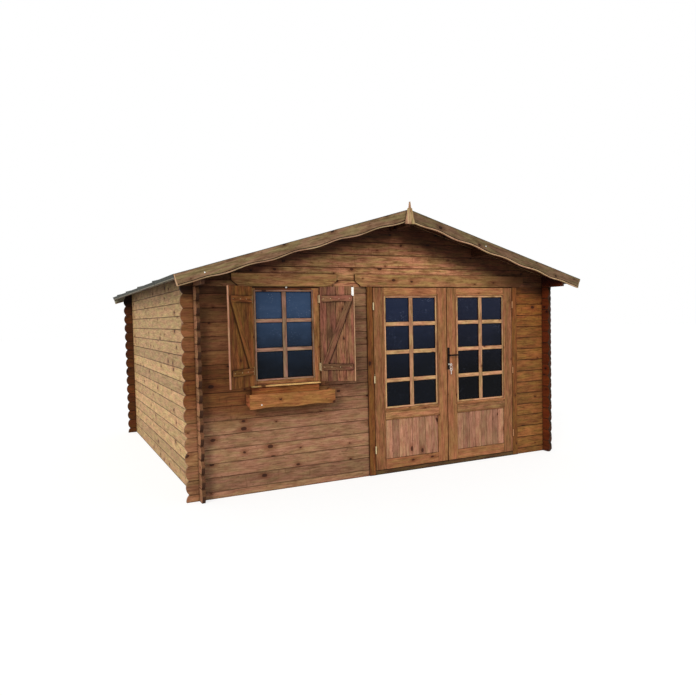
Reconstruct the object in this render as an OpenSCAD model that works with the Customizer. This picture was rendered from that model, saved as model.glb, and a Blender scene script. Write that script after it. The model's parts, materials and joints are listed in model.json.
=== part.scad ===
// Garden shed: a log cabin of interlocking boards under a felted saddle roof, with a glazed double
// door, a window with two braced shutters and a planter under it.

/* [Walls] */
// Length of every wall log, tip to tip
log_length = 3980; // [3600:10:4800]
// Height of one course of logs
log_height = 118; // [98:1:142]
// Thickness of the logs
log_thickness = 28; // [20:1:45]
// How far a log runs past the wall that it crosses
log_overhang = 105; // [60:5:160]
// Whole courses of logs below the eaves
eave_courses = 15; // [14:1:18]
// Height of the side walls' bevelled top log at its outer face
top_log_height = 112; // [70:1:130]
// How far the rounded tip of a log bulges
tip_round = 25; // [10:1:32]
// Depth of the V groove along each joint
joint_groove = 4; // [1:0.5:6]

/* [Roof] */
// Pitch of the roof in degrees
roof_pitch = 16.1; // [12:0.1:22]
// Thickness of the roof boards
roof_board = 19; // [15:1:28]
// Thickness of the roofing felt
felt_thickness = 4; // [2:0.5:6]
// How far the felt is folded down over the eaves
felt_fold = 33; // [26:1:42]
// How far the roof runs past the log tips at the sides
eave_overhang = 110; // [60:5:200]
// How far the roof boards run past the front wall
front_overhang = 291; // [240:1:400]
// How far the roof boards run past the back wall
back_overhang = 212; // [160:1:300]
// Width and height of the batten under each eave
eave_batten = 20; // [15:1:30]
// Height of the bargeboards
barge_height = 101; // [85:1:140]
// Thickness of the bargeboards
barge_thickness = 18; // [15:1:28]
// Length of one wave of a bargeboard's lower edge
wave_length = 410; // [300:5:600]
// Depth of that wave
wave_depth = 14; // [4:1:24]
// Width of the purlins
purlin_width = 45; // [35:1:70]
// Depth of the ridge purlin
ridge_purlin_depth = 118; // [80:1:160]
// Depth of the two side purlins
side_purlin_depth = 72; // [50:1:120]
// Width of the finial at its foot
finial_width = 97; // [70:1:130]
// Thickness of the finial
finial_thickness = 20; // [15:1:30]
// Height of the finial
finial_height = 198; // [160:1:260]

/* [Doors] */
// Width of the doorway between its jambs
doorway_width = 1660; // [1500:5:1900]
// Centre of the doorway, measured from the middle of the wall
doorway_x = 600; // [400:10:700]
// Width of a door jamb
jamb_width = 62; // [45:1:90]
// How far the jambs and the door leaves stand proud of the wall
jamb_proud = 14; // [8:1:20]
// Thickness of a door leaf
leaf_thickness = 36; // [30:1:38]
// Width of a leaf's stiles
stile_width = 113; // [90:1:140]
// Height of a leaf's top rail
top_rail = 78; // [60:1:110]
// Height of a leaf's middle rail
middle_rail = 110; // [80:1:140]
// Height of a leaf's bottom rail
bottom_rail = 95; // [70:1:130]
// Height of the boarded panel between the two lower rails
panel_height = 371; // [280:1:500]
// Thickness of the boarded panel
panel_thickness = 18; // [12:1:22]
// Height of the threshold
threshold_height = 40; // [36:1:60]
// Height of the lever above the ground
lever_height = 1097; // [950:1:1150]
// Length of the lever
lever_length = 100; // [80:1:130]

/* [Window] */
// Centre of the window, measured from the middle of the wall
window_x = -1104; // [-1200:2:-1050]
// Width of the window frame
window_width = 654; // [560:2:700]
// Height of the window frame
window_height = 830; // [700:2:1000]
// Width of the frame's stiles
window_stile = 68; // [50:1:80]
// Height of the frame's top rail
window_top_rail = 29; // [25:1:50]
// Height of the frame's bottom rail
window_bottom_rail = 51; // [40:1:70]
// How far the frame stands proud of the wall
window_proud = 12; // [6:1:14]
// Thickness of the window glass and the door glass
glass_thickness = 4; // [3:0.5:6]
// How far the sill stands out from the wall
sill_depth = 40; // [30:1:44]
// Thickness of the shutter boards
shutter_board = 16; // [12:1:18]
// Thickness of the shutters' battens and braces
shutter_batten = 14; // [10:1:16]
// Angle from closed at which the shutters rest
shutter_rest = 145; // [120:1:170]

/* [Planter] */
// Length of the planter
planter_length = 783; // [600:1:900]
// Height of the planter's front board
planter_height = 123; // [90:1:160]
// How far the planter stands out from the wall
planter_depth = 125; // [90:1:180]
// Thickness of the planter's boards
planter_board = 18; // [12:1:22]

/* [Head boards] */
// Height of the boards over the window and the doorway
head_board_height = 112; // [90:1:118]
// Thickness of those boards
head_board_thickness = 20; // [15:1:28]
// Width of the S curve at each of their ends
ogee_width = 55; // [30:1:70]
// Height of that S curve
ogee_height = 60; // [30:1:80]
// How far the window's head board runs past the window frame
window_head_overlap = 158; // [100:1:170]
// How far the doorway's head board runs past the jambs
door_head_overlap = 103; // [75:1:120]

/* [Hidden] */
$fn = 96;

moving_gap = 5;      // between a moving piece and a fixed one
meeting_gap = 8;     // between the two door leaves
shutter_gap = 10;    // between the two closed shutters
running_gap = 0.3;   // between a hinge's or lever's turning faces
seat_gap = 0.05;     // between the sloping roof boards and what they lie on
head_gap = 2;        // from the eave joint up to the door head
through = 1;         // how far a cutting tool runs past what it cuts

wood = [0.55, 0.42, 0.31];
pale_wood = [0.68, 0.52, 0.38];
planter_wood = [0.74, 0.55, 0.33];
felt_colour = [0.27, 0.29, 0.27];
glass_colour = [0.24, 0.29, 0.36];
zinc = [0.8, 0.81, 0.83];
black_metal = [0.06, 0.06, 0.07];

// The walls, seen from above: x is along the front wall from its middle, y runs back from its face.
tip_x = log_length / 2;
outer_x = tip_x - log_overhang;
inner_x = outer_x - log_thickness;
wall_span = 2 * outer_x;
back_y = wall_span - log_thickness;
course_top = eave_courses * log_height;

// The roof: layers are measured along the slope from the ridge and square to it from the felt's top.
roof_half = tip_x + eave_overhang;
function under_z(x) = course_top + top_log_height + (outer_x - abs(x)) * tan(roof_pitch);
ridge_z = under_z(0) + (roof_board + felt_thickness + seat_gap) / cos(roof_pitch);
felt_slope = roof_half / cos(roof_pitch);
board_slope = felt_slope - felt_thickness;
under_depth = felt_thickness + roof_board;
function slope_point(s, d) =
    [s * cos(roof_pitch) - d * sin(roof_pitch), ridge_z - s * sin(roof_pitch) - d * cos(roof_pitch)];
function ridge_point(d) = [0, ridge_z - d / cos(roof_pitch)];
barge_back = -front_overhang;
barge_front = barge_back - barge_thickness;
finial_front = barge_front - finial_thickness;
roof_back = wall_span + back_overhang;
shed_back = roof_back + barge_thickness;
purlin_x = (inner_x + purlin_width) / 2;

// The doorway and its leaves.
door_head_z = course_top + head_gap;
door_left = doorway_x - doorway_width / 2;
door_right = doorway_x + doorway_width / 2;
leaf_width = (doorway_width - meeting_gap) / 2 - moving_gap;
leaf_bottom = threshold_height + moving_gap;
leaf_top = door_head_z - 7;
leaf_height = leaf_top - leaf_bottom;
hinge_radius = 6.5;
hinge_height = 66;
hinge_plate = 2;
hinge_face = 7;      // from a hinge's axis back to the face of the leaf that it carries
door_axis_y = -jamb_proud - hinge_face;
door_hinge_z = [240, leaf_bottom + leaf_height / 2, leaf_top - 175];
plate_width = 24;
plate_height = 217;
plate_thickness = 3;
lever_radius = 8;
lever_stand = 32;    // from the plate to the middle of the lever
lock_set = 13;       // from the leaf's edge to the middle of the lock plate
lever_drop = 75;     // from the top of the lock plate down to the lever

// The window, its shutters and the boards over both openings.
window_top = door_head_z - 15;
sill_z = window_top - window_height;
shutter_axis_x = window_width / 2 - 10;
shutter_axis_y = -58;
shutter_edge = 4;    // from a shutter hinge's axis to the edge of the boards
shutter_width = shutter_axis_x - shutter_edge - shutter_gap / 2;
shutter_bottom = sill_z + moving_gap;
shutter_top = door_head_z - 7;
shutter_height = shutter_top - shutter_bottom;
batten_height = 52;
batten_inset = 18;
low_batten = 100;    // from a shutter's foot up to its lower batten
high_batten = 80;    // from a shutter's head down to its upper batten
shutter_hinge_z = [shutter_bottom + low_batten + batten_height / 2,
    shutter_top - high_batten - batten_height / 2];
planter_top = sill_z - 66;
planter_x = window_x + 27;
window_head_x = window_x + 21;
door_head_x = doorway_x - 18;

shed_front = finial_front;
origin_shift = -(shed_front + shed_back) / 2;

// Everything is drawn with the front wall's face at y = 0 and moved to the shed's own middle.
module placed() {
    translate([0, origin_shift, 0]) children();
}

// Draws a flat outline in x and z as a board from y1 back to y2.
module upright(y1, y2) {
    translate([0, y2, 0]) rotate([90, 0, 0]) linear_extrude(y2 - y1) children();
}

// Draws a flat outline in y and z as a slab from x1 to x2.
module sideways(x1, x2) {
    translate([x1, 0, 0]) rotate([90, 0, 90]) linear_extrude(x2 - x1) children();
}

module block(x, y, z) {
    translate([x[0], y[0], z[0]]) cube([x[1] - x[0], y[1] - y[0], z[1] - z[0]]);
}

// ---- Logs ----

// Section of a stack of logs from 0 to top, with a V groove on both faces at each joint.
function grooves(face, way, joints) =
    [for (z = joints) for (p = [[0, -1], [1, 0], [0, 1]])
        [face + way * p[0] * joint_groove, z + p[1] * joint_groove]];
function reversed(list) = [for (i = [len(list) - 1:-1:0]) list[i]];

module stack_section(joints, top_outer, top_inner) {
    polygon(concat([[0, 0]], grooves(0, 1, joints), [[0, top_outer], [log_thickness, top_inner]],
        reversed(grooves(log_thickness, -1, joints)), [[log_thickness, 0]]));
}

// Outline of one end of a stack: a rounded tip for each log, whose middle heights are listed.
module rounded_tips(tip, middles) {
    radius = (log_height * log_height / 4 + tip_round * tip_round) / (2 * tip_round);
    for (z = middles)
        intersection() {
            translate([tip - radius, z]) circle(radius);
            translate([tip - 2 * tip_round, z - log_height / 2])
                square([2 * tip_round + through, log_height]);
        }
}

// The front and back walls start with half a log, the side walls with a whole one.
front_joints = [for (k = [0:eave_courses + 8]) (k + 0.5) * log_height];
front_middles = [for (k = [0:eave_courses + 2]) k * log_height];
side_joints = [for (k = [1:eave_courses]) k * log_height];
side_middles = [for (k = [0:eave_courses - 1]) (k + 0.5) * log_height];

module under_roof() {
    x = tip_x + through;
    polygon([[-x, 0], [x, 0], [x, under_z(x)], [0, under_z(0)], [-x, under_z(x)]]);
}

// A purlin has a level foot and follows the roof at its top. Its notch runs out through the roof line.
function purlin_foot(x, depth) = under_z(abs(x) + purlin_width / 2) - depth;

module purlin_outline(x, depth) {
    left = x - purlin_width / 2;
    right = x + purlin_width / 2;
    foot = purlin_foot(x, depth);
    polygon([[left, foot], [right, foot], [right, under_z(right)], [x, under_z(x)], [left, under_z(left)]]);
}

module purlin_notch(x, depth) {
    translate([x - purlin_width / 2, purlin_foot(x, depth)]) square([purlin_width, ridge_z]);
}

// One long wall from y1, with its gable, log tips and corner notches, between two heights.
module gable_wall(y1, z1, z2) {
    low_joints = [for (z = front_joints) if (z < ridge_z) z];
    difference() {
        intersection() {
            translate([0, y1, 0]) sideways(-tip_x - through, tip_x + through)
                stack_section(low_joints, ridge_z, ridge_z);
            upright(y1, y1 + log_thickness) difference() {
                intersection() {
                    union() {
                        translate([-tip_x + tip_round, 0]) square([2 * (tip_x - tip_round), ridge_z]);
                        rounded_tips(tip_x, front_middles);
                        mirror([1, 0]) rounded_tips(tip_x, front_middles);
                    }
                    under_roof();
                    translate([-tip_x - through, z1]) square([2 * (tip_x + through), z2 - z1]);
                }
                purlin_notch(0, ridge_purlin_depth);
                purlin_notch(purlin_x, side_purlin_depth);
                purlin_notch(-purlin_x, side_purlin_depth);
            }
        }
        for (side = [-1, 1], k = [0:eave_courses + 2])
            translate([side * (inner_x + log_thickness / 2), y1 + log_thickness / 2, (k + 0.5) * log_height])
                cube([log_thickness, log_thickness + 2 * through, log_height / 2], center = true);
    }
}

// A side wall from x1: whole courses with rounded tips, and a top log that carries the roof's overhang.
module side_wall() {
    difference() {
        intersection() {
            translate([outer_x, 0, 0]) mirror([1, 0, 0])
                translate([0, roof_back, 0]) rotate([90, 0, 0]) linear_extrude(roof_back + front_overhang)
                    stack_section(side_joints, under_z(outer_x), under_z(inner_x));
            sideways(inner_x - through, outer_x + through) union() {
                translate([tip_round - log_overhang, 0])
                    square([log_length - 2 * tip_round, course_top]);
                translate([-front_overhang, course_top])
                    square([front_overhang + roof_back, under_z(inner_x) + through - course_top]);
                translate([outer_x, 0]) {
                    rounded_tips(tip_x, side_middles);
                    mirror([1, 0]) rounded_tips(tip_x, side_middles);
                }
            }
        }
        for (y = [log_thickness / 2, wall_span - log_thickness / 2], k = [0:eave_courses + 3])
            translate([inner_x + log_thickness / 2, y, k * log_height])
                cube([log_thickness + 2 * through, log_thickness, log_height / 2], center = true);
    }
}

module front_wall_left() {
    color(wood) placed() difference() {
        gable_wall(0, 0, door_head_z);
        block([door_left - jamb_width, tip_x + through], [-through, log_thickness + through],
            [-through, door_head_z + through]);
        window_body(through);
    }
}

module front_wall_right() {
    color(wood) placed() difference() {
        gable_wall(0, 0, door_head_z);
        block([-tip_x - through, door_right + jamb_width], [-through, log_thickness + through],
            [-through, door_head_z + through]);
    }
}

module front_gable() {
    color(wood) placed() difference() {
        gable_wall(0, door_head_z, ridge_z);
        door_head_block(through);
    }
}

module back_wall() {
    color(wood) placed() gable_wall(back_y, 0, ridge_z);
}

module left_wall() {
    color(wood) placed() mirror([1, 0, 0]) side_wall();
}

module right_wall() {
    color(wood) placed() side_wall();
}

// ---- Floor ----

floor_board = 16;
joist_width = 60;
joist_count = 7;
joist_height = threshold_height - floor_board;

module floor_boards() {
    color(pale_wood) placed()
        block([-inner_x, inner_x], [log_thickness, back_y], [joist_height, threshold_height]);
}

module floor_joists() {
    pitch = (back_y - log_thickness - joist_width) / (joist_count - 1);
    color(wood) placed() for (i = [0:joist_count - 1])
        translate([-inner_x, log_thickness + i * pitch, 0]) cube([2 * inner_x, joist_width, joist_height]);
}

// ---- Roof ----

// Outline of one layer of the right-hand slope, between two depths under the felt's top.
module slope_layer(d1, d2, length) {
    polygon([ridge_point(d1), slope_point(length, d1), slope_point(length, d2), ridge_point(d2)]);
}

module ridge_purlin() {
    color(wood) placed() upright(barge_back, roof_back) purlin_outline(0, ridge_purlin_depth);
}

module side_purlins() {
    color(wood) placed() for (side = [-1, 1])
        upright(barge_back, roof_back) purlin_outline(side * purlin_x, side_purlin_depth);
}

module right_roof_boards() {
    color(pale_wood) placed()
        upright(barge_back, roof_back) slope_layer(felt_thickness, under_depth, board_slope);
}

module left_roof_boards() {
    color(pale_wood) placed() mirror([1, 0, 0])
        upright(barge_back, roof_back) slope_layer(felt_thickness, under_depth, board_slope);
}

// The felt runs over the ridge and the bargeboards and is folded down over both eaves.
module roof_felt() {
    slope = [ridge_point(0), slope_point(felt_slope, 0), slope_point(felt_slope, felt_fold),
        slope_point(board_slope, felt_fold), slope_point(board_slope, felt_thickness),
        ridge_point(felt_thickness)];
    color(felt_colour) placed() upright(barge_front, shed_back) union() {
        polygon(slope);
        mirror([1, 0]) polygon(slope);
    }
}

module eave_battens() {
    outline = [for (p = [[0, 0], [0, eave_batten], [eave_batten, eave_batten], [eave_batten, 0]])
        slope_point(board_slope - p[0], under_depth + seat_gap + p[1])];
    color(pale_wood) placed() for (side = [0, 1])
        mirror([side, 0, 0]) upright(barge_back, roof_back) polygon(outline);
}

// A bargeboard's lower edge is a row of shallow waves that starts under the finial.
wave_start = 147;
wave_steps = 16;     // straight steps in one wave

module barge_outline() {
    steps = ceil(board_slope / wave_length * wave_steps);
    lower = [for (i = [0:steps]) let (s = board_slope * i / steps,
        d = felt_thickness + barge_height - wave_depth / 2
            + wave_depth / 2 * cos(360 * (s - wave_start) / wave_length)) slope_point(s, d)];
    intersection() {
        polygon(concat([slope_point(board_slope, felt_thickness), ridge_point(felt_thickness)], lower));
        square([roof_half + through, ridge_z]);
    }
}

module right_bargeboard() {
    color(pale_wood) placed() upright(barge_front, barge_back) barge_outline();
}

module left_bargeboard() {
    color(pale_wood) placed() mirror([1, 0, 0]) upright(barge_front, barge_back) barge_outline();
}

module back_bargeboards() {
    color(pale_wood) placed() for (side = [0, 1])
        mirror([side, 0, 0]) upright(roof_back, shed_back) barge_outline();
}

// The finial stands in front of the bargeboards' joint: a tapered foot and a narrow point.
module finial() {
    foot_z = ridge_z - 133;
    shoulder = 0.2 * finial_width;
    neck = 10;
    tip = 2.5;
    neck_z = foot_z + 0.71 * finial_height;
    color(pale_wood) placed() upright(finial_front, barge_front)
        polygon([[-finial_width / 2, foot_z], [finial_width / 2, foot_z], [shoulder, neck_z],
            [neck, neck_z], [tip, foot_z + finial_height], [-tip, foot_z + finial_height],
            [-neck, neck_z], [-shoulder, neck_z]]);
}

// ---- Boards over the openings ----

// A board's lower corners are cut to an S that leaves both its edges upright.
ogee_steps = 12;

module ogee_board(x, half) {
    curve = [for (i = [0:ogee_steps]) let (t = i / ogee_steps)
        [half - ogee_width / 2 * (1 - cos(180 * t)), ogee_height * (1 - t)]];
    color(pale_wood) placed() upright(-head_board_thickness, 0) translate([x, door_head_z])
        polygon(concat([[-half, head_board_height], [half, head_board_height]], curve,
            [for (p = reversed(curve)) [-p[0], p[1]]]));
}

module window_head_board() {
    ogee_board(window_head_x, window_width / 2 + window_head_overlap);
}

module door_head_board() {
    ogee_board(door_head_x, doorway_width / 2 + jamb_width + door_head_overlap);
}

// ---- Doorway ----

module door_jambs() {
    color(pale_wood) placed() for (x = [door_left - jamb_width, door_right])
        block([x, x + jamb_width], [-jamb_proud, log_thickness], [0, door_head_z]);
}

module door_head_block(extra) {
    block([door_left - jamb_width, door_right + jamb_width], [-extra, log_thickness + extra],
        [door_head_z - extra, door_head_z + 40]);
}

module door_head() {
    color(pale_wood) placed() door_head_block(0);
}

module threshold() {
    color(wood) placed() block([door_left, door_right], [-jamb_proud + 2, log_thickness], [0, threshold_height]);
}

// ---- Hinges: a plate on each side of the gap and knuckles in front, on the axis at x = y = 0 ----

knuckle = (hinge_height - 2 * running_gap) / 3;
knuckle_z = [-hinge_height / 2, -knuckle / 2, hinge_height / 2 - knuckle];

module knuckle_at(i) {
    translate([0, 0, knuckle_z[i]]) cylinder(h = knuckle, r = hinge_radius);
}

// The part on the jamb, whose face is at x = -moving_gap / 2.
module door_hinge_bracket() {
    x = [-moving_gap / 2, -moving_gap / 2 + hinge_plate];
    block(x, [hinge_face, 35], [-hinge_height / 2, hinge_height / 2]);
    for (i = [0, 2]) {
        knuckle_at(i);
        block(x, [0, hinge_face], [knuckle_z[i], knuckle_z[i] + knuckle]);
    }
}

// The part on the leaf, whose edge is at x = moving_gap / 2.
module door_hinge_leaf() {
    x = [moving_gap / 2 - hinge_plate, moving_gap / 2];
    block(x, [hinge_face, 35], [-hinge_height / 2, hinge_height / 2]);
    knuckle_at(1);
    block(x, [0, hinge_face], [knuckle_z[1], knuckle_z[1] + knuckle]);
}

// The shutters hang clear of the frame on brackets that stand out from its face.
module shutter_hinge_bracket() {
    foot_y = -window_proud - shutter_axis_y;
    web = [-3, -3 + hinge_plate];
    block([-9, -1], [foot_y - hinge_plate, foot_y], [-hinge_height / 2, hinge_height / 2]);
    block(web, [hinge_face + 1, foot_y], [-hinge_height / 2, hinge_height / 2]);
    for (i = [0, 2]) {
        knuckle_at(i);
        block(web, [0, hinge_face + 1], [knuckle_z[i], knuckle_z[i] + knuckle]);
    }
}

module shutter_hinge_leaf() {
    x = [shutter_edge - hinge_plate, shutter_edge];
    block(x, [hinge_face, hinge_face + shutter_board], [-hinge_height / 2, hinge_height / 2]);
    knuckle_at(1);
    block(x, [0, hinge_face], [knuckle_z[1], knuckle_z[1] + knuckle]);
}

// Puts a left-hand piece on one side of the doorway, with the hinge axis at x = y = 0.
module at_door_axis(side) {
    translate([doorway_x + side * (doorway_width / 2 - moving_gap / 2), door_axis_y, 0])
        mirror([side > 0 ? 1 : 0, 0, 0]) children();
}

// The same for a shutter, whose leaf is turned about its axis from closed.
module at_shutter_axis(side, turn) {
    translate([window_x + side * shutter_axis_x, shutter_axis_y, 0])
        mirror([side > 0 ? 1 : 0, 0, 0]) rotate([0, 0, -turn]) children();
}

module hinge_brackets() {
    color(zinc) placed() for (side = [-1, 1]) {
        for (z = door_hinge_z) at_door_axis(side) translate([0, 0, z]) door_hinge_bracket();
        for (z = shutter_hinge_z) at_shutter_axis(side, 0) translate([0, 0, z]) shutter_hinge_bracket();
    }
}

// ---- Door leaves, drawn left-handed from their hinge axis ----

leaf_x = [moving_gap / 2, moving_gap / 2 + leaf_width];
leaf_y = [hinge_face, hinge_face + leaf_thickness];
opening_x = [leaf_x[0] + stile_width, leaf_x[1] - stile_width];
panel_z = [leaf_bottom + bottom_rail, leaf_bottom + bottom_rail + panel_height];
glass_z = [panel_z[1] + middle_rail, leaf_top - top_rail];
panel_set = 6;       // from the leaf's face back to the panel
glass_set = 14;      // from the leaf's face back to the glass

module leaf_frame() {
    difference() {
        block(leaf_x, leaf_y, [leaf_bottom, leaf_top]);
        for (z = [panel_z, glass_z])
            block(opening_x, [leaf_y[0] - through, leaf_y[1] + through], z);
    }
}

module leaf_panel() {
    block(opening_x, [leaf_y[0] + panel_set, leaf_y[0] + panel_set + panel_thickness], panel_z);
}

module leaf_glass() {
    block(opening_x, [leaf_y[0] + glass_set, leaf_y[0] + glass_set + glass_thickness], glass_z);
}

module leaf_hinges() {
    for (z = door_hinge_z) translate([0, 0, z]) door_hinge_leaf();
}

module left_door_frame() { color(pale_wood) placed() at_door_axis(-1) leaf_frame(); }
module left_door_panel() { color(wood) placed() at_door_axis(-1) leaf_panel(); }
module left_door_glass() { color(glass_colour) placed() at_door_axis(-1) leaf_glass(); }
module left_door_hinges() { color(zinc) placed() at_door_axis(-1) leaf_hinges(); }
module right_door_frame() { color(pale_wood) placed() at_door_axis(1) leaf_frame(); }
module right_door_panel() { color(wood) placed() at_door_axis(1) leaf_panel(); }
module right_door_glass() { color(glass_colour) placed() at_door_axis(1) leaf_glass(); }
module right_door_hinges() { color(zinc) placed() at_door_axis(1) leaf_hinges(); }

// Furniture of the right leaf, the same on both of its faces.
lock_x = doorway_x + meeting_gap / 2 + lock_set;
leaf_front = -jamb_proud;
leaf_middle = leaf_front + leaf_thickness / 2;

module on_both_faces() {
    for (side = [0, 1]) translate([lock_x, leaf_middle, lever_height]) mirror([0, side, 0]) children();
}

module lock_plates() {
    face = leaf_thickness / 2;
    color(black_metal) placed() on_both_faces()
        block([-plate_width / 2, plate_width / 2], [-face - plate_thickness, -face],
            [lever_drop - plate_height, lever_drop]);
}

module lever_handles() {
    near = leaf_thickness / 2 + plate_thickness + running_gap;
    color(black_metal) placed() on_both_faces() {
        translate([0, -near, 0]) rotate([90, 0, 0]) cylinder(h = lever_stand - running_gap, r = lever_radius);
        translate([0, running_gap - near - lever_stand, 0]) {
            sphere(lever_radius);
            rotate([0, 90, 0]) cylinder(h = lever_length - lever_radius, r = lever_radius);
            translate([lever_length - lever_radius, 0, 0]) sphere(lever_radius);
        }
    }
}

// ---- Window ----

// The part of the window frame that fills the hole in the wall.
module window_body(extra) {
    lap = 20;
    block([window_x - window_width / 2 + lap, window_x + window_width / 2 - lap],
        [-extra, log_thickness + extra], [sill_z + lap, window_top - lap]);
}

light_x = [window_x - window_width / 2 + window_stile, window_x + window_width / 2 - window_stile];
light_z = [sill_z + window_bottom_rail, window_top - window_top_rail];

module window_frame() {
    color(pale_wood) placed() difference() {
        union() {
            window_body(0);
            block([window_x - window_width / 2, window_x + window_width / 2], [-window_proud, 0],
                [sill_z, window_top]);
        }
        block(light_x, [-window_proud - through, log_thickness + through], light_z);
    }
}

module window_glass() {
    color(glass_colour) placed() block(light_x, [2, 2 + glass_thickness], light_z);
}

// The sill with the apron board under it.
module window_sill() {
    half = window_width / 2 - 10;
    color(wood) placed() sideways(window_x - half, window_x + half)
        polygon([[0, sill_z], [-sill_depth, sill_z - 3], [-sill_depth, sill_z - 15], [-16, sill_z - 15],
            [-16, sill_z - 88], [0, sill_z - 88]]);
}

// ---- Shutters, drawn closed and left-handed from their hinge axis ----

shutter_x = [shutter_edge, shutter_edge + shutter_width];
batten_x = [shutter_x[0] + batten_inset, shutter_x[1] - batten_inset];
batten_y = [hinge_face + shutter_board, hinge_face + shutter_board + shutter_batten];

module shutter_boards() {
    block(shutter_x, [hinge_face, hinge_face + shutter_board], [shutter_bottom, shutter_top]);
}

// Two battens and a brace between them, which falls towards the hinges.
module shutter_brace() {
    low = shutter_bottom + low_batten;
    high = shutter_top - high_batten;
    brace_foot = 55;
    upright(batten_y[0], batten_y[1]) {
        translate([batten_x[0], low]) square([batten_x[1] - batten_x[0], batten_height]);
        translate([batten_x[0], high - batten_height]) square([batten_x[1] - batten_x[0], batten_height]);
        polygon([[batten_x[0], low + batten_height], [batten_x[0] + brace_foot, low + batten_height],
            [batten_x[1], high - batten_height], [batten_x[1] - brace_foot, high - batten_height]]);
    }
}

module shutter_hinges() {
    for (z = shutter_hinge_z) translate([0, 0, z]) shutter_hinge_leaf();
}

module left_shutter_boards() { color(wood) placed() at_shutter_axis(-1, shutter_rest) shutter_boards(); }
module left_shutter_brace() { color(wood) placed() at_shutter_axis(-1, shutter_rest) shutter_brace(); }
module left_shutter_hinges() { color(zinc) placed() at_shutter_axis(-1, shutter_rest) shutter_hinges(); }
module right_shutter_boards() { color(wood) placed() at_shutter_axis(1, shutter_rest) shutter_boards(); }
module right_shutter_brace() { color(wood) placed() at_shutter_axis(1, shutter_rest) shutter_brace(); }
module right_shutter_hinges() { color(zinc) placed() at_shutter_axis(1, shutter_rest) shutter_hinges(); }

// ---- Planter ----

planter_low = planter_top - planter_height;
planter_wave = 9;
planter_steps = 32;

// The front board's lower edge has two shallow waves.
module planter_front() {
    half = planter_length / 2;
    color(planter_wood) placed() upright(-planter_depth, -planter_depth + planter_board)
        polygon(concat([[planter_x + half, planter_top], [planter_x - half, planter_top]],
            [for (i = [0:planter_steps]) [planter_x - half + planter_length * i / planter_steps,
                planter_low + planter_wave / 2 * (1 - cos(720 * i / planter_steps))]]));
}

// Two ends and a base, fixed to the wall behind the front board.
module planter_tray() {
    half = planter_length / 2;
    front = -planter_depth + planter_board;
    base_z = planter_low + 40;
    color(planter_wood) placed() union() {
        for (x = [planter_x - half, planter_x + half - planter_board])
            sideways(x, x + planter_board) polygon([[front, planter_low + planter_wave], [0, base_z - 2],
                [0, planter_top], [front, planter_top]]);
        block([planter_x - half, planter_x + half], [front, 0], [base_z, base_z + 15]);
    }
}

front_wall_left();
front_wall_right();
front_gable();
back_wall();
left_wall();
right_wall();
floor_boards();
floor_joists();
door_jambs();
door_head();
threshold();
door_head_board();
window_frame();
window_glass();
window_sill();
window_head_board();
planter_front();
planter_tray();
ridge_purlin();
side_purlins();
left_roof_boards();
right_roof_boards();
roof_felt();
eave_battens();
left_bargeboard();
right_bargeboard();
back_bargeboards();
finial();
hinge_brackets();
left_door_frame();
left_door_panel();
left_door_glass();
left_door_hinges();
right_door_frame();
right_door_panel();
right_door_glass();
right_door_hinges();
lock_plates();
lever_handles();
left_shutter_boards();
left_shutter_brace();
left_shutter_hinges();
right_shutter_boards();
right_shutter_brace();
right_shutter_hinges();
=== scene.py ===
"""Looks of the garden shed: boards, glazing, felt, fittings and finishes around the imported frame.

Lengths are in metres, +Z up, with the doors facing -Y. Places come from the CAD nodes' boxes.
"""

import json
import math
import random

import bmesh
import bpy
from mathutils import Matrix, Vector


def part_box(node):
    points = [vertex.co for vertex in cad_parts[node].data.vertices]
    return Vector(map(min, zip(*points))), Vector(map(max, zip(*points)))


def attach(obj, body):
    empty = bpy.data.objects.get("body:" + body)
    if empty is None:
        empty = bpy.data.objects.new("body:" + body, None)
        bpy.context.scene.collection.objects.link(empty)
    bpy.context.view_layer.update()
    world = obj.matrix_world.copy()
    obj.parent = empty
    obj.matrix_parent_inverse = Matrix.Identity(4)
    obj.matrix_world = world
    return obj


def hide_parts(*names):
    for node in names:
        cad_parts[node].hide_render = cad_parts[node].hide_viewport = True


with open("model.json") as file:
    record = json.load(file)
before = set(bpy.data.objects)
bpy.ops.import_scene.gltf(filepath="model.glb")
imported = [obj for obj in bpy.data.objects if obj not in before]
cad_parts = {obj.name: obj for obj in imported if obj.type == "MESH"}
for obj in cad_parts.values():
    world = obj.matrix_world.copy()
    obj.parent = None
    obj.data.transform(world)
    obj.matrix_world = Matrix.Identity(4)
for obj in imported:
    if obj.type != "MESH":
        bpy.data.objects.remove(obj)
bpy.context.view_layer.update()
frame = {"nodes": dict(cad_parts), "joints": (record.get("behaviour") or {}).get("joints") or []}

# ==== Sizes that the frame's boxes don't give ====
PITCH = math.radians(16.1)
LOG_HEIGHT = 0.118
FELT = 0.004
ROOF_BOARD = 0.019
SHUTTER_OPEN = math.radians(145)
JOINT = 0.0008  # gap between two neighbouring boards
GLASS_GAP = 0.0005  # gap between a glazing bar and its pane

CAMERA_PLACE = (-3.007, -6.931, 1.477)
CAMERA_TURN = (87.33, 1.24, -26.35)
CAMERA_LENS = 32.11


def low(node):
    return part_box(node)[0]


def high(node):
    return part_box(node)[1]


def spans(node):
    """The ranges that a CAD node takes up along x, y and z."""
    return list(zip(*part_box(node)))


WALL_FACE = low("front_gable").y  # outer face of the front wall
MIDDLE = (WALL_FACE + high("back_wall").y) / 2  # halfway between the outer faces of the front and back walls
HALF_DEPTH = MIDDLE - WALL_FACE
RIDGE = high("roof_felt").z
SIDE_TOP = high("left_wall").z
BARGE_FRONT = low("left_bargeboard").y
BARGE_BACK = high("left_bargeboard").y
ROOF_BACK = high("right_roof_boards").y
FELT_SLOPE = high("roof_felt").x / math.cos(PITCH)
BOARD_SLOPE = FELT_SLOPE - FELT
JOINTS = {joint["name"]: Vector(joint["pos_m"]) for joint in frame["joints"]}


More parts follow.
